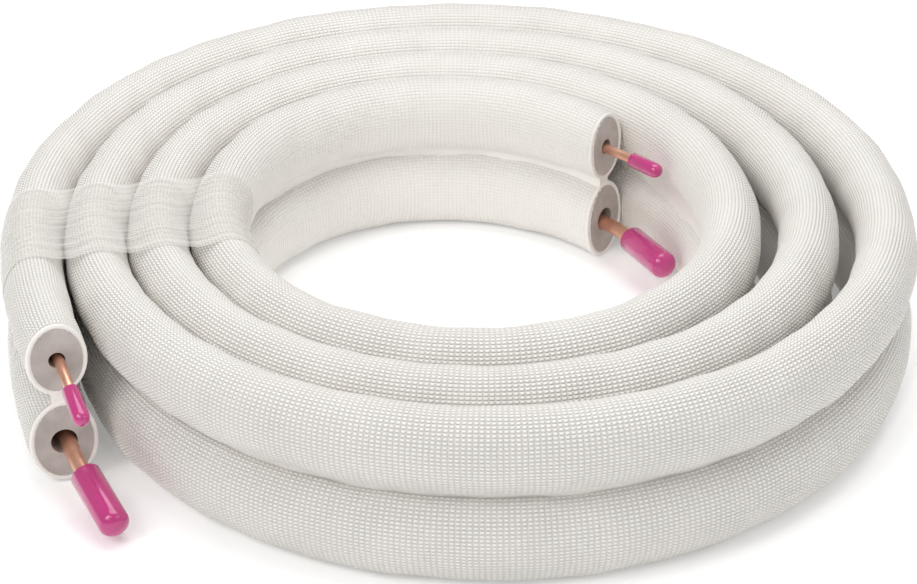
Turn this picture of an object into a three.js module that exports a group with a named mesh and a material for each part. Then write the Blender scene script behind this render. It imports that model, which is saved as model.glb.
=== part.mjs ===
// Twin copper line set for a split air conditioner, wound into a flat coil.
// A thin liquid pipe lies above a thicker suction pipe. Each runs in its own insulation tube,
// the two tubes are bonded along their length, and a clear film holds the turns together.
// Lengths are in millimetres, angles are in degrees, and +Z is up.
import * as THREE from "three";

// Copper pipes
const LIQUID_PIPE_DIAMETER = 6.35;
const SUCTION_PIPE_DIAMETER = 9.53;
const PIPE_WALL = 0.8;
const LIQUID_BORE_PLAY = 3.65;
const SUCTION_BORE_PLAY = 6.4;
const PIPE_REST_ANGLE = 30;

// Insulation, measured round, then pressed by the tight winding into an upright oval
const INSULATION_WALL = 19;
const OVAL_WIDTH_TO_HEIGHT = 0.69;
const JACKET_WALL = 3;
const BOND_WIDTH = 8;
const BOND_THICKNESS = 0.8;

// Coil, seen from above and running outwards counter-clockwise
const START_RADIUS = 140;
const START_ANGLE = 46.5;
const COIL_SWEEP = 1250.5;
const TURN_GAP = 0.8;
const SIDE_GAP = 9.5;
const SIDE_GAP_ANGLE = 13;
const COIL_OVAL = 13;
const COIL_OVAL_ANGLE = 101;
const INNER_END_LEAN = 8.6;
const INNER_END_SPAN = 82;
const OUTER_END_SPRING = 11;
const OUTER_END_SPAN = 26;
const INNER_CUT_SLANT = 12;

// Bare pipe ends and their push-on caps
const LIQUID_STUB = 51;
const SUCTION_STUB = 78;
const LIQUID_CAP_LENGTH = 27;
const SUCTION_CAP_LENGTH = 48;
const LIQUID_CAP_WALL = 1.5;
const SUCTION_CAP_WALL = 4;
const CAP_END_WALL = 2.5;
const CAP_FIT = 0.4;
const CAP_CLEARANCE = 1;
const CAP_TURN_STEP = 0.5;
const CAP_TURN_LIMIT = 80;
const LIQUID_STUB_BENDS = { inner: { turn: -10, droop: -2 }, outer: { turn: 4.5, droop: 18 } };
const SUCTION_STUB_BENDS = { inner: { turn: -21, droop: -0.5 }, outer: { turn: 11, droop: 13 } };

// Clear film wound round the turns at the left
const FILM_THICKNESS = 0.4;
const FILM_WIDTH = 94;
const FILM_KNOT = 8;

// Clearances and facets
const FACE_GAP = 0.3;
const STEP_ANGLE = 18;
const JACKET_SIDES = 12;
const INNER_SIDES = 8;
const CAP_SIDES = 16;
const STUB_STEPS = 6;

const UP = new THREE.Vector3(0, 0, 1);
const radians = THREE.MathUtils.degToRad;

// A round tube of this outer diameter keeps its girth when it is pressed to an oval
function pressedTube(pipeDiameter) {
  const roundRadius = pipeDiameter / 2 + INSULATION_WALL;
  const halfHeight = roundRadius * Math.sqrt(2 / (1 + OVAL_WIDTH_TO_HEIGHT ** 2));
  return { halfWidth: halfHeight * OVAL_WIDTH_TO_HEIGHT, halfHeight };
}

const liquidTube = pressedTube(LIQUID_PIPE_DIAMETER);
const suctionTube = pressedTube(SUCTION_PIPE_DIAMETER);
const suctionHeight = FILM_THICKNESS + FACE_GAP + suctionTube.halfHeight;
const bondHeight = suctionHeight + suctionTube.halfHeight + FACE_GAP + BOND_THICKNESS / 2;
const liquidHeight = bondHeight + BOND_THICKNESS / 2 + FACE_GAP + liquidTube.halfHeight;
const turnPitch = 2 * Math.max(liquidTube.halfWidth, suctionTube.halfWidth) + TURN_GAP;
const endAngle = START_ANGLE + COIL_SWEEP;

// Radius of the coil's centre line: it grows by one pitch a turn, opens up on one side,
// is slightly oval, leans on the next turn at its inner end and springs out at its outer end
function coilRadius(angle) {
  const turns = angle / 360;
  const openSide = (SIDE_GAP * (1 + Math.cos(radians(angle - SIDE_GAP_ANGLE)))) / 2;
  const oval = COIL_OVAL * Math.cos(radians(2 * (angle - COIL_OVAL_ANGLE)));
  const lean = Math.max(0, START_ANGLE + INNER_END_SPAN - angle) / INNER_END_SPAN;
  const spring = Math.max(0, angle - endAngle + OUTER_END_SPAN) / OUTER_END_SPAN;
  const ends = INNER_END_LEAN * lean ** 2 + OUTER_END_SPRING * spring ** 2;
  return START_RADIUS + (turnPitch + openSide) * turns + oval + ends;
}

function coilPoint(angle, height, inset = 0) {
  const radius = coilRadius(angle) - inset;
  return new THREE.Vector3(radius * Math.cos(radians(angle)), radius * Math.sin(radians(angle)), height);
}

// Points at even angles, the same on every turn, so that the facets of neighbours stay parallel
function coilPoints(height, inset = 0) {
  const angles = [];
  for (let angle = START_ANGLE; angle < endAngle; angle += STEP_ANGLE) angles.push(angle);
  return [...angles, endAngle].map((angle) => coilPoint(angle, height, inset));
}

// A route through given points, whose cross-sections stay upright; the first may be cut on a slant
class UprightRoute extends THREE.Curve {
  constructor(points, startSlant) {
    super();
    this.points = points;
    this.startSlant = startSlant;
  }

  getPoint(share) {
    return this.points[Math.round(share * (this.points.length - 1))].clone();
  }

  getUtoTmapping(share) {
    return share;
  }

  computeFrenetFrames(steps) {
    const frames = { tangents: [], normals: [], binormals: [] };
    for (let step = 0; step <= steps; step += 1) {
      const before = this.points[Math.max(0, step - 1)];
      const here = this.points[step];
      const after = this.points[Math.min(steps, step + 1)];
      const arriving = here.clone().sub(before).normalize();
      const leaving = after.clone().sub(here).normalize();
      const tangent = arriving.add(leaving).normalize();
      if (step === 0) tangent.applyAxisAngle(UP, radians(this.startSlant));
      const inwards = UP.clone().cross(tangent).normalize();
      frames.tangents.push(tangent);
      frames.normals.push(inwards);
      frames.binormals.push(tangent.clone().cross(inwards));
    }
    return frames;
  }
}

// Corners of an oval with a flat facet at the bottom: outside the true oval, or on it
function ovalCorners(halfWidth, halfHeight, sides, outside) {
  const grow = outside ? 1 / Math.cos(Math.PI / sides) : 1;
  const corners = [];
  for (let side = 0; side < sides; side += 1) {
    const turn = ((side + 0.5) * 2 * Math.PI) / sides;
    corners.push(new THREE.Vector2(halfWidth * grow * Math.cos(turn), halfHeight * grow * Math.sin(turn)));
  }
  return corners;
}

function sweep(corners, holeCorners, points, startSlant = 0) {
  const section = new THREE.Shape(corners);
  if (holeCorners) section.holes.push(new THREE.Path(holeCorners));
  return new THREE.ExtrudeGeometry(section, {
    steps: points.length - 1,
    extrudePath: new UprightRoute(points, startSlant),
  });
}

function namedMesh(name, geometry, material) {
  const mesh = new THREE.Mesh(geometry, material);
  mesh.name = name;
  return mesh;
}

const copper = new THREE.MeshStandardMaterial({ color: 0xc98f6e, roughness: 0.35, metalness: 1 });
const greyFoam = new THREE.MeshStandardMaterial({ color: 0xb1a7a1, roughness: 0.95, metalness: 0 });
const whiteSkin = new THREE.MeshStandardMaterial({ color: 0xeeeae2, roughness: 0.55, metalness: 0 });
const pinkVinyl = new THREE.MeshStandardMaterial({ color: 0xc84b91, roughness: 0.25, metalness: 0 });
const clearFilm = new THREE.MeshStandardMaterial({
  color: 0xf4f4f2, roughness: 0.15, metalness: 0, transparent: true, opacity: 0.3,
});

// Insulation tube: white skin round grey foam, with a bore for the pipe
function insulationMeshes(name, tube, boreRadius, height) {
  const points = coilPoints(height);
  const skin = ovalCorners(tube.halfWidth, tube.halfHeight, JACKET_SIDES, true);
  const skinInside = ovalCorners(tube.halfWidth - JACKET_WALL, tube.halfHeight - JACKET_WALL, INNER_SIDES, false);
  const foamInset = JACKET_WALL + FACE_GAP;
  const foam = ovalCorners(tube.halfWidth - foamInset, tube.halfHeight - foamInset, INNER_SIDES, false);
  const bore = ovalCorners(boreRadius, boreRadius, INNER_SIDES, true);
  return [
    namedMesh(`${name}_jacket`, sweep(skin, skinInside, points, INNER_CUT_SLANT), whiteSkin),
    namedMesh(`${name}_foam`, sweep(foam, bore, points, INNER_CUT_SLANT), greyFoam),
  ];
}

// Bare pipe beyond the insulation: it bends while it is bare and is straight inside its cap
function stubPoints(start, heading, length, straight, bend) {
  const aim = heading.clone().applyAxisAngle(UP, radians(bend.turn));
  aim.multiplyScalar(Math.cos(radians(bend.droop))).addScaledVector(UP, -Math.sin(radians(bend.droop)));
  const stride = (length - straight) / STUB_STEPS;
  const points = [];
  let here = start;
  for (let step = 1; step <= STUB_STEPS; step += 1) {
    const direction = heading.clone().lerp(aim, step / STUB_STEPS).normalize();
    here = here.clone().addScaledVector(direction, stride);
    points.push(here);
  }
  points.push(here.clone().addScaledVector(aim, straight));
  return { points, aim };
}

// Push-on cap: a sleeve closed by a rounded end, turned about its own axis
function capGeometry(boreRadius, wall, length) {
  const outer = boreRadius + wall;
  const profile = [
    [0, length - CAP_END_WALL],
    [boreRadius, length - CAP_END_WALL],
    [boreRadius, 0],
    [outer, 0],
    [outer, length - 0.55 * outer],
    [0.88 * outer, length - 0.22 * outer],
    [0.6 * outer, length],
    [0, length],
  ];
  return new THREE.LatheGeometry(profile.map(([x, y]) => new THREE.Vector2(x, y)), CAP_SIDES);
}

// A bare end inside the coil turns further in, a little at a time, until its cap clears the turn round it
function clearedBend(start, heading, length, straight, cap, radius, bend) {
  const bent = { ...bend };
  const gap = () => {
    const { points, aim } = stubPoints(start, heading, length, straight, bent);
    const tip = points.at(-1).clone().addScaledVector(aim, cap.length - straight);
    const turnRound = coilRadius(THREE.MathUtils.radToDeg(Math.atan2(tip.y, tip.x)) + 360);
    return turnRound - suctionTube.halfWidth - radius - cap.wall - Math.hypot(tip.x, tip.y);
  };
  while (bent.turn > -CAP_TURN_LIMIT && gap() < CAP_CLEARANCE) bent.turn -= CAP_TURN_STEP;
  return bent;
}

// Pipe with its two bare ends and caps; winding has pressed it to the lower inner side of its bore
function pipeMeshes(name, diameter, bores, stub, cap, bends) {
  const radius = diameter / 2;
  const play = bores.radius - radius - FACE_GAP;
  const height = bores.height - play * Math.sin(radians(PIPE_REST_ANGLE));
  const coil = coilPoints(height, play * Math.cos(radians(PIPE_REST_ANGLE)));
  const straight = cap.length - CAP_END_WALL - FACE_GAP;
  const innerHeading = coil[0].clone().sub(coil[1]).normalize();
  const outerHeading = coil.at(-1).clone().sub(coil.at(-2)).normalize();
  const innerBend = clearedBend(coil[0], innerHeading, stub, straight, cap, radius + CAP_FIT, bends.inner);
  const inner = stubPoints(coil[0], innerHeading, stub, straight, innerBend);
  const outer = stubPoints(coil.at(-1), outerHeading, stub, straight, bends.outer);
  const points = [...inner.points.toReversed(), ...coil, ...outer.points];
  const outside = ovalCorners(radius, radius, INNER_SIDES, false);
  const inside = ovalCorners(radius - PIPE_WALL, radius - PIPE_WALL, INNER_SIDES, false);
  const meshes = [namedMesh(`${name}_pipe`, sweep(outside, inside, points), copper)];
  for (const [end, bent] of Object.entries({ inner, outer })) {
    const mesh = namedMesh(`${name}_${end}_cap`, capGeometry(radius + CAP_FIT, cap.wall, cap.length), pinkVinyl);
    mesh.quaternion.setFromUnitVectors(new THREE.Vector3(0, 1, 0), bent.aim);
    mesh.position.copy(bent.points.at(-1)).addScaledVector(bent.aim, -straight);
    meshes.push(mesh);
  }
  return meshes;
}

// Strip that bonds the two jackets along their length
function bondMesh() {
  const corners = [[-1, -1], [1, -1], [1, 1], [-1, 1]].map(
    ([x, y]) => new THREE.Vector2((x * BOND_WIDTH) / 2, (y * BOND_THICKNESS) / 2),
  );
  return namedMesh("bond_strip", sweep(corners, null, coilPoints(bondHeight), INNER_CUT_SLANT), whiteSkin);
}

// Outline that spans all the turns, made of the outer corners of the tubes at its four corners
function bundleOutline(halfSpan, clearance) {
  const quarter = JACKET_SIDES / 4;
  const middle = bondHeight;
  const placed = (tube, height) =>
    ovalCorners(tube.halfWidth + clearance, tube.halfHeight + clearance, JACKET_SIDES, true).map(
      (corner) => new THREE.Vector2(corner.x + Math.sign(corner.x) * halfSpan, corner.y + height - middle),
    );
  const upper = placed(liquidTube, liquidHeight).slice(0, 2 * quarter);
  const lower = placed(suctionTube, suctionHeight).slice(2 * quarter);
  return [...upper, ...lower];
}

// Film wound round the turns that lie side by side at the left, as wide as they are anywhere under it
function filmMesh() {
  const angle = START_ANGLE + FILM_KNOT * STEP_ANGLE;
  const fullTurns = 360 * Math.floor((endAngle - angle) / 360);
  const innerTurn = [-1, 0, 1].map((step) => coilPoint(angle + step * STEP_ANGLE, bondHeight));
  const outerTurn = [-1, 0, 1].map((step) => coilPoint(angle + fullTurns + step * STEP_ANGLE, bondHeight));
  const middles = innerTurn.map((point, index) => point.clone().lerp(outerTurn[index], 0.5));
  const shares = [0, 2].map((side) => FILM_WIDTH / 2 / middles[1].distanceTo(middles[side]));
  const edge = (turn, side) => turn[1].clone().lerp(turn[side], shares[side / 2]);
  const spans = [0, 2].map((side) => edge(innerTurn, side).distanceTo(edge(outerTurn, side)));
  const halfSpan = Math.max(...spans, innerTurn[1].distanceTo(outerTurn[1])) / 2;
  const points = [edge(middles, 0), middles[1], edge(middles, 2)];
  const outline = bundleOutline(halfSpan, FACE_GAP + FILM_THICKNESS);
  return namedMesh("wrap_film", sweep(outline, bundleOutline(halfSpan, FACE_GAP), points), clearFilm);
}

const liquidBore = { radius: (LIQUID_PIPE_DIAMETER + LIQUID_BORE_PLAY) / 2, height: liquidHeight };
const suctionBore = { radius: (SUCTION_PIPE_DIAMETER + SUCTION_BORE_PLAY) / 2, height: suctionHeight };
const liquidCap = { length: LIQUID_CAP_LENGTH, wall: LIQUID_CAP_WALL };
const suctionCap = { length: SUCTION_CAP_LENGTH, wall: SUCTION_CAP_WALL };

const lineSet = new THREE.Group();
lineSet.add(
  ...insulationMeshes("liquid", liquidTube, liquidBore.radius, liquidHeight),
  ...insulationMeshes("suction", suctionTube, suctionBore.radius, suctionHeight),
  bondMesh(),
  ...pipeMeshes("liquid", LIQUID_PIPE_DIAMETER, liquidBore, LIQUID_STUB, liquidCap, LIQUID_STUB_BENDS),
  ...pipeMeshes("suction", SUCTION_PIPE_DIAMETER, suctionBore, SUCTION_STUB, suctionCap, SUCTION_STUB_BENDS),
  filmMesh(),
);

// The origin is on the floor below the middle of the whole coil
const middle = new THREE.Box3().setFromObject(lineSet, true).getCenter(new THREE.Vector3());
lineSet.position.set(-middle.x, -middle.y, 0);

export default lineSet;
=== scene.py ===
import bmesh
import bpy
import numpy as np
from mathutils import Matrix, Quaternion, Vector


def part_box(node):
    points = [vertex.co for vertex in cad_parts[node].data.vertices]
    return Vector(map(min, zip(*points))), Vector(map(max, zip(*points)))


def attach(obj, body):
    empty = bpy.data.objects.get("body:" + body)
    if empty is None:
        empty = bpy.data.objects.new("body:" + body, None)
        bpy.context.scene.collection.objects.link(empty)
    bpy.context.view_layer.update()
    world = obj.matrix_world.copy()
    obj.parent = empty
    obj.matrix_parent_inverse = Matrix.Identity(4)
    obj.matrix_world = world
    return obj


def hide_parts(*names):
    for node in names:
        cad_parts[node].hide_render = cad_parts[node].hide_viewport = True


# A twin copper line set for a split air conditioner, wound into a flat coil and held by clear film.
# Lengths are in metres, angles are in degrees, and +Z is up.
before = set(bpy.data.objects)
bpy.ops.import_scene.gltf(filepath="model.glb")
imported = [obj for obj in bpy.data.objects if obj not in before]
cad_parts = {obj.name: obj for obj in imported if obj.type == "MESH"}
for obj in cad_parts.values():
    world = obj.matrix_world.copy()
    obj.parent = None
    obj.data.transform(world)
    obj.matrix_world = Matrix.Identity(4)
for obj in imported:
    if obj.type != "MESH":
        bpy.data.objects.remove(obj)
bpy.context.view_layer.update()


# Camera: a long lens stands in front of the coil and looks down on it.
# Its small shift and roll only set the coil in the picture as the photograph does.
CAMERA_AIM = Vector((0.0096, -0.0021, 0.055))
CAMERA_DISTANCE = 1.6225
CAMERA_ELEVATION = np.radians(27.99)
CAMERA_AZIMUTH = np.radians(-0.16)
CAMERA_ROLL = np.radians(-0.29)
camera_data = bpy.data.cameras.new("camera")
camera_data.sensor_width = 36
camera_data.lens = 98.7
camera_data.shift_x = -0.0145
camera_data.shift_y = -0.0427
camera = bpy.data.objects.new("camera", camera_data)
bpy.context.collection.objects.link(camera)
camera_back = Vector((
    np.sin(CAMERA_AZIMUTH) * np.cos(CAMERA_ELEVATION),
    -np.cos(CAMERA_AZIMUTH) * np.cos(CAMERA_ELEVATION),
    np.sin(CAMERA_ELEVATION),
))
camera.location = CAMERA_AIM + CAMERA_DISTANCE * camera_back
camera.rotation_mode = "QUATERNION"
camera.rotation_quaternion = (-camera_back).to_track_quat("-Z", "Y") @ Quaternion((0, 0, 1), CAMERA_ROLL)
bpy.context.scene.camera = camera


# Floor and light: a white studio floor with a faint glow, under broad soft lamps from the left, from the
# right and from above, and a narrow one that draws the long glints on the caps.
FLOOR_SIZE = 12
FLOOR_GLOW = 0.17
LAMPS = {
    "key": ((-1.6, -1.5, 2.2), (1.4, 1.4), 29),
    "fill": ((2.0, -1.2, 1.6), (1.8, 1.4), 8),
    "overhead": ((0.2, 0.6, 2.6), (2.4, 2.0), 42),
    "strip": ((-0.5, -2.2, 1.9), (0.10, 1.6), 7),
}
AIM_OF_LAMPS = Vector((0, 0, 0.05))
bpy.context.scene.view_settings.view_transform = "Standard"


def add_node(tree, kind, inputs=None, **settings):
    """Add a shader node. Each named or numbered input gets a value, or a link from another node's output."""
    node = tree.nodes.new("ShaderNode" + kind)
    for name, value in settings.items():
        setattr(node, name, value)
    for name, value in (inputs or {}).items():
        if isinstance(value, bpy.types.NodeSocket):
            tree.links.new(value, node.inputs[name])
        else:
            node.inputs[name].default_value = value
    return node


def new_material(name):
    """A node material with a Principled shader; returns the material, its tree and that shader."""
    material = bpy.data.materials.new(name)
    material.use_nodes = True
    tree = material.node_tree
    return material, tree, tree.nodes["Principled BSDF"]


floor_mesh = bpy.data.meshes.new("floor")
half_floor = FLOOR_SIZE / 2
floor_corners = [(x * half_floor, y * half_floor, 0) for x, y in ((-1, -1), (1, -1), (1, 1), (-1, 1))]
floor_mesh.from_pydata(floor_corners, [], [(0, 1, 2, 3)])
floor = bpy.data.objects.new("floor", floor_mesh)
bpy.context.collection.objects.link(floor)
floor_paint, _, floor_shader = new_material("floor_paint")
floor_shader.inputs["Base Color"].default_value = (0.94, 0.94, 0.94, 1)
floor_shader.inputs["Roughness"].default_value = 0.9
floor_shader.inputs["Emission Color"].default_value = (1, 1, 1, 1)
floor_shader.inputs["Emission Strength"].default_value = FLOOR_GLOW
floor_mesh.materials.append(floor_paint)

for name, (place, size, power) in LAMPS.items():
    lamp_data = bpy.data.lights.new(name, "AREA")
    lamp_data.shape = "RECTANGLE"
    lamp_data.size, lamp_data.size_y = size
    lamp_data.energy = power
    lamp = bpy.data.objects.new(name, lamp_data)
    lamp.location = place
    lamp.rotation_mode = "QUATERNION"
    lamp.rotation_quaternion = (AIM_OF_LAMPS - lamp.location).to_track_quat("-Z", "Y")
    bpy.context.collection.objects.link(lamp)

studio = bpy.data.worlds.new("studio")
studio.use_nodes = True
studio.node_tree.nodes["Background"].inputs["Color"].default_value = (1, 1, 1, 1)
studio.node_tree.nodes["Background"].inputs["Strength"].default_value = 0.42
bpy.context.scene.world = studio


# Copper pipes: a thin liquid pipe above a thicker suction pipe, both drawn soft and wound by hand.
# Each is pressed to the lower inner side of its bore, and bends where its ends come out bare.
START_RADIUS = 0.140
START_ANGLE, END_ANGLE = 46.5, 1297
KNOT_STEP = 18
TURN_GAP = 0.0008
SIDE_GAP, SIDE_GAP_ANGLE = 0.0095, 13
COIL_OVAL, COIL_OVAL_ANGLE = 0.013, 101
INNER_END_LEAN, INNER_END_SPAN = 0.0086, 82
OUTER_END_SPRING, OUTER_END_SPAN = 0.011, 26
OVAL_WIDTH_TO_HEIGHT = 0.69
PIPE_WALL = 0.0008
PIPE_REST_ANGLE = np.radians(30)
FACE_GAP = 0.0003
CAP_END_WALL = 0.0025
COARSE_STEP = 4
STUB_STEPS = 6
SHARP_ANGLE = np.radians(50)
POLE_MERGE = 1e-7
PIPES = {
    "liquid": {
        "diameter": 0.00635, "bore": 0.0100, "stub": 0.051,
        "cap_length": 0.027, "cap_wall": 0.0015, "cap_dome": 1.1, "cap_square": 2.1,
        "bends": {"inner": (-10, -2), "outer": (4.5, 18)},
    },
    "suction": {
        "diameter": 0.00953, "bore": 0.01593, "stub": 0.078,
        "cap_length": 0.048, "cap_wall": 0.0040, "cap_dome": 0.72, "cap_square": 1.9,
        "bends": {"inner": (-21, -0.5), "outer": (11, 13)},
    },
}
for name, pipe in PIPES.items():
    low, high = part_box(f"{name}_jacket")
    pipe["height"] = (low.z + high.z) / 2
    pipe["half_height"] = (high.z - low.z) / 2
    pipe["half_width"] = pipe["half_height"] * OVAL_WIDTH_TO_HEIGHT
    play = pipe["bore"] / 2 - pipe["diameter"] / 2 - FACE_GAP
    pipe["rest"] = pipe["height"] - play * np.sin(PIPE_REST_ANGLE), play * np.cos(PIPE_REST_ANGLE)
turn_pitch = 2 * PIPES["suction"]["half_width"] + TURN_GAP
coil_axis = np.zeros(2)


def coil_radius(angle):
    """The radius grows by one pitch a turn; it opens up on one side, is slightly oval, leans out at the
    inner end by a square law, and springs out at the outer end by another."""
    open_side = SIDE_GAP * (1 + np.cos(np.radians(angle - SIDE_GAP_ANGLE))) / 2
    oval = COIL_OVAL * np.cos(np.radians(2 * (angle - COIL_OVAL_ANGLE)))
    lean = np.maximum(0, START_ANGLE + INNER_END_SPAN - angle) / INNER_END_SPAN
    spring = np.maximum(0, angle - END_ANGLE + OUTER_END_SPAN) / OUTER_END_SPAN
    ends = INNER_END_LEAN * lean**2 + OUTER_END_SPRING * spring**2
    return START_RADIUS + (turn_pitch + open_side) * angle / 360 + oval + ends


def coil_line(angles, height, inset=0.0):
    """Points of the spiral: (radius - inset) times (cos, sin) of the angle, from its axis, at one height."""
    radius, turn = coil_radius(angles) - inset, np.radians(angles)
    flat = coil_axis + np.stack((radius * np.cos(turn), radius * np.sin(turn)), -1)
    return np.column_stack((flat, np.full(len(flat), height)))


# The coil's axis is where the spiral's knots fill the same box as the bond between the tubes
knots = coil_line(np.append(np.arange(START_ANGLE, END_ANGLE, KNOT_STEP), END_ANGLE), 0)[:, :2]
bond_low, bond_high = (np.array(corner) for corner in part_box("bond_strip"))
coil_axis = ((bond_low + bond_high)[:2] - knots.min(0) - knots.max(0)) / 2


def unit(vectors):
    """Vectors divided by their lengths."""
    return vectors / np.linalg.norm(vectors, axis=-1, keepdims=True)


def upright_frames(line):
    """Unit vectors square to a line at each of its points: level towards its left, and then upwards."""
    along = unit(np.gradient(line, axis=0))
    inward = unit(np.cross((0, 0, 1), along))
    return inward, np.cross(along, inward)


def rings_on(line, frames, turns, half_width, half_height, lift=0.0):
    """Rings round a line: centre + inward (w cos t + lift nx) + rise (h sin t + lift nz), where (nx, nz)
    is square to the oval at turn t."""
    square = unit(np.stack((np.cos(turns) / np.mean(half_width), np.sin(turns) / np.mean(half_height)), -1))
    across = half_width * np.cos(turns) + lift * square[..., 0]
    upwards = half_height * np.sin(turns) + lift * square[..., 1]
    inward, rise = frames
    return line[:, None] + inward[:, None] * across[..., None] + rise[:, None] * upwards[..., None]


def grid_piece(name, rings, material, stands_for, loop=False, poles=False, uv=None, paint=None):
    """A piece over a grid of points that closes round each ring, and for a loop from the last ring to the
    first. Poles are rings shrunk to a point, which are merged. uv is one pair for each grid line."""
    count, around = rings.shape[:2]
    row, column = np.mgrid[0 : count if loop else count - 1, 0:around]
    next_row, next_column = (row + 1) % count, (column + 1) % around
    corners = np.stack((
        row * around + column, row * around + next_column,
        next_row * around + next_column, next_row * around + column,
    ), -1)
    mesh = bpy.data.meshes.new(name)
    mesh.from_pydata(rings.reshape(-1, 3).tolist(), [], corners.reshape(-1, 4).tolist())
    if uv is not None:
        along, about = uv
        corner_row = np.stack((row, row, row + 1, row + 1), -1)
        corner_column = np.stack((column, column + 1, column + 1, column), -1)
        pairs = np.stack((along[corner_row % count], about[corner_column]), -1)
        mesh.uv_layers.new(name="surface").data.foreach_set("uv", pairs.ravel().astype(np.float32))
    for layer_name, values in (paint or {}).items():
        layer = mesh.attributes.new(layer_name, "FLOAT", "POINT")
        layer.data.foreach_set("value", values.ravel().astype(np.float32))
    if poles:
        shape = bmesh.new()
        shape.from_mesh(mesh)
        bmesh.ops.remove_doubles(shape, verts=shape.verts, dist=POLE_MERGE)
        shape.to_mesh(mesh)
        shape.free()
    mesh.polygons.foreach_set("use_smooth", np.ones(len(mesh.polygons), bool))
    mesh.set_sharp_from_angle(angle=SHARP_ANGLE)
    mesh.materials.append(material)
    piece = bpy.data.objects.new(name, mesh)
    bpy.context.collection.objects.link(piece)
    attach(piece, "root")
    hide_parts(stands_for)
    return piece


def turned(vector, angle):
    """A vector turned about the upright axis."""
    cosine, sine = np.cos(np.radians(angle)), np.sin(np.radians(angle))
    x, y, z = vector
    return np.array((cosine * x - sine * y, sine * x + cosine * y, z))


def stub_line(pipe, end):
    """Points of a bare end: it leaves along the last chord of the coil, bends evenly towards its aim, then
    is straight in its cap. Returns the points from the insulation outwards, the cap's open end, the aim."""
    last_knot = START_ANGLE + KNOT_STEP * np.floor((END_ANGLE - START_ANGLE) / KNOT_STEP)
    ends = {"inner": (START_ANGLE, START_ANGLE + KNOT_STEP), "outer": (END_ANGLE, last_knot)}
    face, before = coil_line(np.array(ends[end], float), *pipe["rest"])
    heading = unit(face - before)
    turn, droop = pipe["bends"][end]
    aim = np.cos(np.radians(droop)) * turned(heading, turn) - np.array((0, 0, np.sin(np.radians(droop))))
    straight = pipe["cap_length"] - CAP_END_WALL - FACE_GAP
    share = np.arange(1, STUB_STEPS + 1)[:, None] / STUB_STEPS
    stride = (pipe["stub"] - straight) / STUB_STEPS
    bend = face + np.cumsum(unit(heading + (aim - heading) * share) * stride, axis=0)
    return np.vstack((bend, bend[-1] + aim * straight / 2, bend[-1] + aim * straight)), bend[-1], aim


def rounded(line):
    """A line with one more point in each gap: the cubic through four neighbours, at its middle."""
    padded = np.vstack((2 * line[0] - line[1], line, 2 * line[-1] - line[-2]))
    middles = (9 * (padded[1:-2] + padded[2:-1]) - padded[:-3] - padded[3:]) / 16
    both = np.empty((len(line) * 2 - 1, 3))
    both[::2], both[1::2] = line, middles
    return both


copper, tree, shader = new_material("dulled_copper")
place = add_node(tree, "UVMap", uv_map="surface")
drawn = add_node(tree, "Mapping", {"Vector": place.outputs["UV"], "Scale": (6, 900, 1)})
streaks = add_node(tree, "TexNoise", {"Vector": drawn.outputs["Vector"], "Scale": 1.0, "Detail": 3})
where = add_node(tree, "TexCoord").outputs["Object"]
stains = add_node(tree, "TexNoise", {"Vector": where, "Scale": 55, "Detail": 4})
tint = add_node(tree, "ValToRGB", {"Fac": stains.outputs["Fac"]})
tint.color_ramp.elements[0].position, tint.color_ramp.elements[0].color = 0.35, (0.66, 0.33, 0.22, 1)
tint.color_ramp.elements[1].position, tint.color_ramp.elements[1].color = 0.65, (0.86, 0.50, 0.37, 1)
dullness = add_node(tree, "MapRange", {"Value": streaks.outputs["Fac"], "To Min": 0.24, "To Max": 0.46})
scratches = add_node(tree, "Bump", {"Height": streaks.outputs["Fac"], "Strength": 0.25, "Distance": 0.0002})
shader.inputs["Metallic"].default_value = 0.9
tree.links.new(tint.outputs["Color"], shader.inputs["Base Color"])
tree.links.new(dullness.outputs["Result"], shader.inputs["Roughness"])
tree.links.new(scratches.outputs["Normal"], shader.inputs["Normal"])

PIPE_SIDES = 24
pipe_turns = np.linspace(0, 2 * np.pi, PIPE_SIDES, endpoint=False)
coarse_angles = np.linspace(START_ANGLE, END_ANGLE, round((END_ANGLE - START_ANGLE) / COARSE_STEP) + 1)
for name, pipe in PIPES.items():
    inner_stub, outer_stub = stub_line(pipe, "inner")[0], stub_line(pipe, "outer")[0]
    line = rounded(np.vstack((inner_stub[::-1], coil_line(coarse_angles, *pipe["rest"]), outer_stub)))
    frames = upright_frames(line)
    outside = rings_on(line, frames, pipe_turns, pipe["diameter"] / 2, pipe["diameter"] / 2)
    bore_radius = pipe["diameter"] / 2 - PIPE_WALL
    inside = rings_on(line, frames, pipe_turns, bore_radius, bore_radius)[::-1]
    travelled = np.concatenate(([0], np.cumsum(np.linalg.norm(np.diff(line, axis=0), axis=1))))
    about = np.linspace(0, np.pi * pipe["diameter"], PIPE_SIDES + 1)
    grid_piece(
        f"{name}_copper_pipe", np.concatenate((outside, inside)), copper, f"{name}_pipe",
        loop=True, uv=(np.concatenate((travelled, travelled[::-1])), about),
    )


# Grey foam: closed-cell foam extruded as a tube, with a bore wider than the pipe that lies in it.
# It fills the white jacket and is cut off with it, a little on the slant at the inner end. The tubes
# relax near their free ends, where nothing presses them.
JACKET_WALL = 0.003
RING_SIDES = 28
CUT_SLANT, SLANT_REACH = np.radians(12), 0.035
RELAX_SPAN = 26
LOOSE_SIZES = {
    "liquid": {"inner": (0.0180, 0.0242), "coil": (0.0188, 0.0258), "outer": (0.0183, 0.0234)},
    "suction": {"inner": (0.0200, 0.0277), "coil": (0.0191, 0.0277), "outer": (0.0206, 0.0267)},
}
ring_turns = np.linspace(0, 2 * np.pi, RING_SIDES, endpoint=False)
FOAM_FACE_RINGS = 7
FACE_DISH = 0.0004


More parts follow.
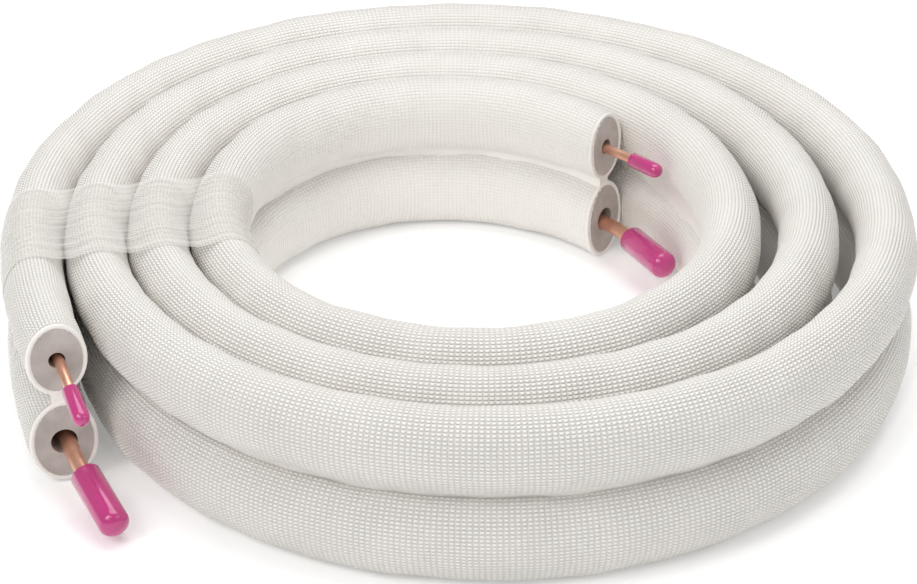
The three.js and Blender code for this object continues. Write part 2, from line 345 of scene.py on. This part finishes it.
def tube_sizes(name, angles):
    """Half width and half height of a tube at each coil angle, as columns: those in the coil, blended into
    those of the loose ends by the square of the share of the last 26 degrees."""
    loose = LOOSE_SIZES[name]
    inner = (np.clip(START_ANGLE + RELAX_SPAN - angles, 0, None) / RELAX_SPAN)[:, None] ** 2
    outer = (np.clip(angles - END_ANGLE + RELAX_SPAN, 0, None) / RELAX_SPAN)[:, None] ** 2
    sizes = np.array(loose["coil"]) * (1 - inner - outer) + inner * loose["inner"] + outer * loose["outer"]
    return sizes[:, :1], sizes[:, 1:]


def cut_frames(line):
    """Upright frames whose first ones are turned about +Z, so that the inner end is cut on a slant. The
    turn fades by a square law over the first 35 mm."""
    inward, rise = upright_frames(line)
    travelled = np.concatenate(([0], np.cumsum(np.linalg.norm(np.diff(line, axis=0), axis=1))))
    slant = CUT_SLANT * np.clip(1 - travelled / SLANT_REACH, 0, 1) ** 2
    cosine, sine = np.cos(slant), np.sin(slant)
    x, y = inward[:, 0], inward[:, 1]
    return np.stack((cosine * x - sine * y, sine * x + cosine * y, inward[:, 2]), -1), rise


foam_material, tree, shader = new_material("closed_cell_foam")
where = add_node(tree, "TexCoord").outputs["Object"]
cells = add_node(tree, "TexVoronoi", {"Vector": where, "Scale": 900})
clouds = add_node(tree, "TexNoise", {"Vector": where, "Scale": 60, "Detail": 5})
grey = add_node(tree, "ValToRGB", {"Fac": clouds.outputs["Fac"]})
grey.color_ramp.elements[0].position, grey.color_ramp.elements[0].color = 0.3, (0.39, 0.355, 0.33, 1)
grey.color_ramp.elements[1].position, grey.color_ramp.elements[1].color = 0.7, (0.56, 0.51, 0.48, 1)
pits = add_node(tree, "Bump", {"Height": cells.outputs["Distance"], "Strength": 0.5, "Distance": 0.0003})
shader.inputs["Roughness"].default_value = 0.95
tree.links.new(grey.outputs["Color"], shader.inputs["Base Color"])
tree.links.new(pits.outputs["Normal"], shader.inputs["Normal"])

for name, pipe in PIPES.items():
    line = coil_line(coarse_angles, pipe["height"])
    frames = cut_frames(line)
    foam_sizes = (size - JACKET_WALL for size in tube_sizes(name, coarse_angles))
    outside = rings_on(line, frames, ring_turns, *foam_sizes)
    inside = rings_on(line, frames, ring_turns, pipe["bore"] / 2, pipe["bore"] / 2)
    share = np.linspace(0, 1, FOAM_FACE_RINGS)[1:-1, None, None]
    dish = FACE_DISH * np.sin(np.pi * share)
    faces = []
    for last, sign in ((-1, 1), (0, -1)):
        along = np.cross(frames[0][last], frames[1][last]) * sign
        face = outside[last] + (inside[last] - outside[last]) * share - along * dish
        faces.append(face)
    rings = np.concatenate((outside, faces[0], inside[::-1], faces[1][::-1]))
    grid_piece(f"{name}_grey_foam", rings, foam_material, f"{name}_foam", loop=True)


# White jackets: a tough polyethylene skin on the foam, embossed all over with small square pads by a
# roller. Winding has pressed the tubes to upright ovals and puckered the skin a little on the inside.
PAD_LENGTH = 0.0031
PAD_WIDTH = 0.0023
PAD_RELIEF = 0.00022
SIDE_WAVE = 0.0004
CALM_REACH = 0.012
RIM_ROUND = (
    (0.0012, 0.0), (0.0005, 0.00012), (0.00012, 0.0005), (0.0, 0.0012), (0.0, 0.0020), (0.0006, 0.003),
)
RIPPLES = ((0.061, 1), (0.097, 2), (0.038, 3), (0.151, 1))
PAD_EDGE_POWER = 2.4
EMBOSS_MEAN, EMBOSS_LEAN, EMBOSS_LEAST = 0.8, 0.4, 0.45
# Painted light and shade of the emboss: the skin's colour is made a little lighter on the pad tops and
# darker in the grooves between them.
PAD_TOP_PAINTED_LIGHT, GROOVE_PAINTED_SHADE = 0.18, 0.12

skin, tree, shader = new_material("embossed_skin")
place = add_node(tree, "UVMap", uv_map="surface")
pads = add_node(tree, "SeparateXYZ", {"Vector": place.outputs["UV"]})


def maths(operation, *values):
    """The output of one Math node of the current tree, fed with numbers or outputs."""
    return add_node(tree, "Math", dict(enumerate(values)), operation=operation).outputs["Value"]


def pad_profile(position):
    """One across the middle of each unit step, falling to nothing at its edges: 1 - |2 frac(x) - 1|^2.4."""
    edge = maths("ABSOLUTE", maths("MULTIPLY_ADD", maths("FRACT", position), 2.0, -1.0))
    return maths("SUBTRACT", 1.0, maths("POWER", edge, PAD_EDGE_POWER))


pad_height = maths("MULTIPLY", pad_profile(pads.outputs["X"]), pad_profile(pads.outputs["Y"]))
depth = add_node(tree, "Attribute", attribute_name="emboss").outputs["Fac"]
where = add_node(tree, "TexCoord").outputs["Object"]
patches = add_node(tree, "TexNoise", {"Vector": where, "Scale": 26, "Detail": 3})
faded = add_node(tree, "MapRange", {
    "Value": patches.outputs["Fac"], "From Min": 0.35, "From Max": 0.6, "To Min": 0.88,
})
emboss = maths("MULTIPLY", maths("MULTIPLY", pad_height, depth), faded.outputs["Result"])
grooves = add_node(tree, "Bump", {"Height": emboss, "Strength": 1.0, "Distance": 0.0011})
soil = add_node(tree, "TexNoise", {"Vector": where, "Scale": 7, "Detail": 4})
white = add_node(tree, "ValToRGB", {"Fac": soil.outputs["Fac"]})
white.color_ramp.elements[0].position, white.color_ramp.elements[0].color = 0.3, (0.86, 0.83, 0.785, 1)
white.color_ramp.elements[1].position, white.color_ramp.elements[1].color = 0.7, (0.90, 0.872, 0.83, 1)
# Painted shade in the grooves and painted light on the pad tops: the skin's colour is scaled down where the
# pads fall away and up on their tops, more where the emboss is deeper.
painted_groove_shade = maths("MULTIPLY_ADD", depth, -GROOVE_PAINTED_SHADE, 1.0)
shade = maths("MULTIPLY_ADD", pad_height, maths("MULTIPLY", depth, PAD_TOP_PAINTED_LIGHT), painted_groove_shade)
skin_colour = add_node(tree, "VectorMath", {0: white.outputs["Color"], "Scale": shade}, operation="SCALE")
shader.inputs["Roughness"].default_value = 0.5
shader.inputs["Specular IOR Level"].default_value = 0.35
tree.links.new(skin_colour.outputs["Vector"], shader.inputs["Base Color"])
tree.links.new(grooves.outputs["Normal"], shader.inputs["Normal"])


def even_angles(count):
    """Coil angles that cut its centre line into equal lengths, and the whole length."""
    dense = np.linspace(START_ANGLE, END_ANGLE, 8000)
    steps = np.linalg.norm(np.diff(coil_line(dense, 0), axis=0), axis=1)
    travelled = np.concatenate(([0], np.cumsum(steps)))
    return np.interp(np.linspace(0, travelled[-1], count), travelled, dense), travelled[-1]


def even_turns(sides, half_width, half_height):
    """Turns that cut an oval's edge into equal lengths, and the length of that edge."""
    dense = np.linspace(0, 2 * np.pi, 2000)
    edge = np.stack((half_width * np.cos(dense), half_height * np.sin(dense)), -1)
    travelled = np.concatenate(([0], np.cumsum(np.linalg.norm(np.diff(edge, axis=0), axis=1))))
    return np.interp(np.linspace(0, travelled[-1], sides, endpoint=False), travelled, dense), travelled[-1]


coil_length = even_angles(2)[1]
pads_along = round(coil_length / PAD_LENGTH)
fine_angles = even_angles(2 * pads_along + 1)[0]
waves = np.random.default_rng(7)
for name, pipe in PIPES.items():
    half_width, half_height = tube_sizes(name, fine_angles)
    turns, girth = even_turns(RING_SIDES, *LOOSE_SIZES[name]["coil"])
    line = coil_line(fine_angles, pipe["height"])
    frames = cut_frames(line)
    outward = np.clip(EMBOSS_MEAN - EMBOSS_LEAN * np.cos(turns), EMBOSS_LEAST, 1)[None, :]
    comb = np.where(np.arange(len(line)) % 2, 1.0, -1.0)[:, None]
    travelled = np.linspace(0, coil_length, len(line))[:, None]
    ripple = sum(
        np.sin(2 * np.pi * travelled / length + lobes * turns[None, :] + waves.uniform(0, 2 * np.pi))
        for length, lobes in RIPPLES
    )
    from_cut = np.clip(np.minimum(travelled, coil_length - travelled) / CALM_REACH, 0, 1)
    relief = from_cut * (PAD_RELIEF * outward * comb + SIDE_WAVE / 2 * ripple)
    outside = rings_on(line, frames, turns, half_width, half_height, relief)
    coarse = coil_line(coarse_angles, pipe["height"])
    lining = (size - JACKET_WALL for size in tube_sizes(name, coarse_angles))
    inside = rings_on(coarse, cut_frames(coarse), turns, *lining)
    rims = []
    for last, sign in ((-1, 1), (0, -1)):
        along = np.cross(frames[0][last], frames[1][last]) * sign
        retreat, inset = np.array(RIM_ROUND).T[..., None]
        centres = line[last] - along * retreat
        same = tuple(np.repeat(f[last][None], len(centres), axis=0) for f in frames)
        rims.append(rings_on(centres, same, turns, half_width[last] - inset, half_height[last] - inset))
    outside = outside[1:-1]
    rings = np.concatenate((outside, rims[0], inside[::-1], rims[1][::-1]))
    rest = len(rings) - len(outside)
    emboss_depth = np.concatenate((np.repeat(outward, len(outside), axis=0), np.zeros((rest, RING_SIDES))))
    along_pads = np.concatenate((np.arange(1, len(outside) + 1) / 2, np.zeros(rest)))
    about_pads = np.linspace(0, round(girth / PAD_WIDTH), RING_SIDES + 1)
    grid_piece(
        f"{name}_embossed_jacket", rings, skin, f"{name}_jacket",
        loop=True, uv=(along_pads, about_pads), paint={"emboss": emboss_depth},
    )


# Bond: the two jackets are welded to each other where they meet, all along the coil. The weld is a web
# that spreads into both skins. It is wider on the coil's inner side, most of all opposite the inner end.
WEB_WAISTS = (0.0055, 0.0036)
WEB_FEET = (0.0110, 0.0085)
WEB_SWELLS = (0.0050, 0.0)
SWELL_ANGLE, SWELL_SPAN = 378, 30
WEB_BITE = 0.0012
WEB_RETREAT = 0.0006
WEB_SIDES = 9

rise = np.linspace(-1, 1, WEB_SIDES)
line = coil_line(coarse_angles, 0)
frames = cut_frames(line)
swell = np.exp(-(((coarse_angles - SWELL_ANGLE) / SWELL_SPAN) ** 2))[:, None]
web_sides = []
for number, (waist, foot, more) in enumerate(zip(WEB_WAISTS, WEB_FEET, WEB_SWELLS)):
    across = (waist + (foot - waist) * rise**2 + more * swell) * (1, -1)[number]
    edges = {}
    for name in PIPES:
        half_width, half_height = tube_sizes(name, coarse_angles)
        edges[name] = half_height * np.sqrt(1 - ((foot + more * swell) / half_width) ** 2) - WEB_BITE
    top = PIPES["liquid"]["height"] - edges["liquid"]
    bottom = PIPES["suction"]["height"] + edges["suction"]
    upwards = bottom + (top - bottom) * (rise + 1) / 2
    points = line[:, None] + frames[0][:, None] * across[..., None] + frames[1][:, None] * upwards[..., None]
    web_sides.append(points if number == 0 else points[:, ::-1])
web = np.concatenate(web_sides, axis=1)
for last, sign in ((-1, 1), (0, -1)):
    web[last] -= np.cross(frames[0][last], frames[1][last]) * sign * WEB_RETREAT
ends = [np.repeat(web[i].mean(0)[None, None], web.shape[1], axis=1) for i in (0, -1)]
grid_piece(
    "bond_web", np.concatenate((ends[0], web, ends[1])), skin, "bond_strip", poles=True,
)


# Caps: vinyl dip-moulded over a round-nosed mandrel, pink and glossy, pushed on the bare pipe ends.
# Each has a plain sleeve with a soft lip and a domed nose.
CAP_FIT = 0.0004
CAP_SIDES = 48
NOSE_RINGS = 14
LIP_ROUND = 0.0004

vinyl, tree, shader = new_material("pink_vinyl")
where = add_node(tree, "TexCoord").outputs["Object"]
cloud = add_node(tree, "TexNoise", {"Vector": where, "Scale": 45, "Detail": 2})
pink = add_node(tree, "ValToRGB", {"Fac": cloud.outputs["Fac"]})
pink.color_ramp.elements[0].position, pink.color_ramp.elements[0].color = 0.3, (0.44, 0.027, 0.165, 1)
pink.color_ramp.elements[1].position, pink.color_ramp.elements[1].color = 0.7, (0.52, 0.038, 0.205, 1)
orange_peel = add_node(tree, "TexNoise", {"Vector": where, "Scale": 350, "Detail": 2})
peel = add_node(tree, "Bump", {"Height": orange_peel.outputs["Fac"], "Strength": 0.08, "Distance": 0.0003})
shader.inputs["Roughness"].default_value = 0.16
shader.inputs["Coat Weight"].default_value = 0.6
shader.inputs["Coat Roughness"].default_value = 0.06
tree.links.new(pink.outputs["Color"], shader.inputs["Base Color"])
tree.links.new(peel.outputs["Normal"], shader.inputs["Normal"])

cap_turns = np.linspace(0, 2 * np.pi, CAP_SIDES, endpoint=False)
for name, pipe in PIPES.items():
    bore = pipe["diameter"] / 2 + CAP_FIT
    outer = bore + pipe["cap_wall"]
    nose = np.linspace(0, np.pi / 2, NOSE_RINGS)
    power = 2 / pipe["cap_square"]
    nose_length = pipe["cap_dome"] * outer
    nose_along = pipe["cap_length"] - nose_length + nose_length * np.sin(nose) ** power
    nose_radius = outer * np.maximum(np.cos(nose), 0) ** power
    nose_radius[-1] = 0
    bore_end = pipe["cap_length"] - CAP_END_WALL
    sleeve = np.array((
        (bore_end, 0), (bore_end, bore), (LIP_ROUND, bore), (0, bore + LIP_ROUND),
        (0, outer - LIP_ROUND), (LIP_ROUND / 3, outer - LIP_ROUND / 3), (LIP_ROUND, outer),
    ))
    profile = np.vstack((sleeve, np.stack((nose_along, nose_radius), -1)))
    for end in ("inner", "outer"):
        _, mouth, aim = stub_line(pipe, end)
        inward = unit(np.cross((0, 0, 1), aim))
        upright = np.cross(aim, inward)
        spokes = np.cos(cap_turns)[:, None] * inward + np.sin(cap_turns)[:, None] * upright
        rings = mouth + profile[:, :1, None] * aim + profile[:, 1:, None] * spokes
        grid_piece(f"{name}_{end}_vinyl_cap", rings, vinyl, f"{name}_{end}_cap", poles=True)


# Clear film: stretch film wound a few times round all the turns at the left, where they lie together.
# It lies on the tops of the tubes, dips a little between them, and creases the way it is pulled.
FILM_KNOT = 8
FILM_ANGLE = START_ANGLE + FILM_KNOT * KNOT_STEP
FILM_WIDTH = 0.094
FILM_OFF = 0.0007
FILM_LIFT = 0.4 * FILM_OFF
FILM_THICKNESS = 0.00012
FILM_SAG = 0.0035
FILM_WAIST = 0.006
FILM_ROWS = 90
FILM_ARC_STEPS, FILM_SIDE_STEPS, FILM_UNDER_STEPS, FILM_TOP_STEPS = 18, 14, 20, 72
FILM_REACH = 30
CREASE_HEIGHT = 0.00009
CREASES = ((0.031, 2.1), (0.0185, 3.4), (0.0112, 5.2), (0.0071, 6.8))
CREASE_WANDER = 0.6
FILM_UV_GIRTH = 0.6

film_turns = FILM_ANGLE + 360 * np.arange(int((END_ANGLE - FILM_ANGLE) // 360) + 1)
crossing = coil_line(film_turns, 0)
film_middle = (crossing[0] + crossing[-1]) / 2
film_outward = unit(crossing[-1] - crossing[0])
film_along = np.cross((0, 0, 1), film_outward)
film_places = np.linspace(-FILM_WIDTH / 2, FILM_WIDTH / 2, FILM_ROWS)
reach = np.linspace(-FILM_REACH, FILM_REACH, 8 * FILM_REACH + 1)
across_turns = []
for turn in film_turns:
    passing = coil_line(turn + reach, 0) - film_middle
    across_turns.append(np.interp(film_places, passing @ film_along, passing @ film_outward))
across_turns = np.array(across_turns)


def arc(turn_index, tube, start, stop):
    """Film over a quarter of a tube's oval: across and up for each film place and each arc step."""
    turn = np.radians(np.linspace(start, stop, FILM_ARC_STEPS))
    pipe = PIPES[tube]
    across = across_turns[turn_index][:, None] + (LOOSE_SIZES[tube]["coil"][0] + FILM_OFF) * np.cos(turn)
    upwards = pipe["height"] + (pipe["half_height"] + FILM_OFF) * np.sin(turn)
    return np.stack((across, np.broadcast_to(upwards, across.shape)), -1)


def span(start, stop, dip):
    """Film between two points for each film place, moved at each step by the dip (across, up)."""
    share = np.linspace(0, 1, len(dip) + 2)[1:-1, None]
    return start[:, None] + (stop - start)[:, None] * share + dip


def dips(count, depth, hollows):
    """Hollows in a span, all as deep: depth times the square of a sine with that many half waves."""
    share = np.linspace(0, 1, count + 2)[1:-1]
    return depth * np.sin(np.pi * hollows * share) ** 2


last_turn = len(film_turns) - 1
outer_top, outer_bottom = arc(last_turn, "liquid", 90, 5), arc(last_turn, "suction", -5, -90)
inner_bottom, inner_top = arc(0, "suction", -90, -175), arc(0, "liquid", 175, 90)
waist_out = np.stack((-dips(FILM_SIDE_STEPS, FILM_WAIST, 1), np.zeros(FILM_SIDE_STEPS)), -1)
top_dip = np.stack((np.zeros(FILM_TOP_STEPS), -dips(FILM_TOP_STEPS, FILM_SAG, last_turn)), -1)
flat_under = np.zeros((FILM_UNDER_STEPS, 2))
outline = np.concatenate((
    outer_top, span(outer_top[:, -1], outer_bottom[:, 0], waist_out), outer_bottom,
    span(outer_bottom[:, -1], inner_bottom[:, 0], flat_under), inner_bottom,
    span(inner_bottom[:, -1], inner_top[:, 0], -waist_out), inner_top,
    span(inner_top[:, -1], outer_top[:, 0], top_dip),
), axis=1)
edge_before, edge_after = np.roll(outline, 1, axis=1), np.roll(outline, -1, axis=1)
edge = unit(edge_after - edge_before)
out_of_film = np.stack((-edge[..., 1], edge[..., 0]), -1)
steps = np.linalg.norm(outline - edge_before, axis=-1)
round_film = np.cumsum(steps, axis=1)
creases = np.random.default_rng(3)
crease = sum(
    np.sin(
        2 * np.pi * film_places[:, None] / width
        + CREASE_WANDER * np.sin(round_film * drift) + creases.uniform(0, 6)
    )
    for width, drift in CREASES
)
outline = outline + out_of_film * (CREASE_HEIGHT * crease[..., None] + FILM_LIFT)


def film_points(flat):
    """Points of the film in space from its places across and up: middle + outward x + along w + up z."""
    return (
        film_middle + film_outward * flat[..., :1] + film_along * film_places[:, None, None]
        + np.array((0, 0, 1.0)) * flat[..., 1:]
    )


film, tree, shader = new_material("stretch_film")
place = add_node(tree, "UVMap", uv_map="surface")
pulled = add_node(tree, "Mapping", {"Vector": place.outputs["UV"], "Scale": (300, 5, 1)})
lines = add_node(tree, "TexNoise", {"Vector": pulled.outputs["Vector"], "Scale": 1.0, "Detail": 4})
fine_lines = add_node(tree, "Bump", {"Height": lines.outputs["Fac"], "Strength": 0.35, "Distance": 0.0004})
haze = add_node(tree, "MapRange", {
    "Value": lines.outputs["Fac"], "From Min": 0.4, "From Max": 0.72, "To Min": 0.18, "To Max": 0.40,
})
shader.inputs["Base Color"].default_value = (0.90, 0.885, 0.84, 1)
shader.inputs["Roughness"].default_value = 0.14
tree.links.new(haze.outputs["Result"], shader.inputs["Alpha"])
tree.links.new(fine_lines.outputs["Normal"], shader.inputs["Normal"])

film_skin = film_points(outline)[:, ::-1]
film_back = film_points(outline - out_of_film * FILM_THICKNESS)[:, ::-1]
film_rings = np.concatenate((film_skin, film_back[::-1]))
film_about = np.linspace(0, FILM_UV_GIRTH, film_rings.shape[1] + 1)
film_uv = (np.concatenate((film_places, film_places[::-1])), film_about)
grid_piece("stretch_film", film_rings, film, "wrap_film", loop=True, uv=film_uv)
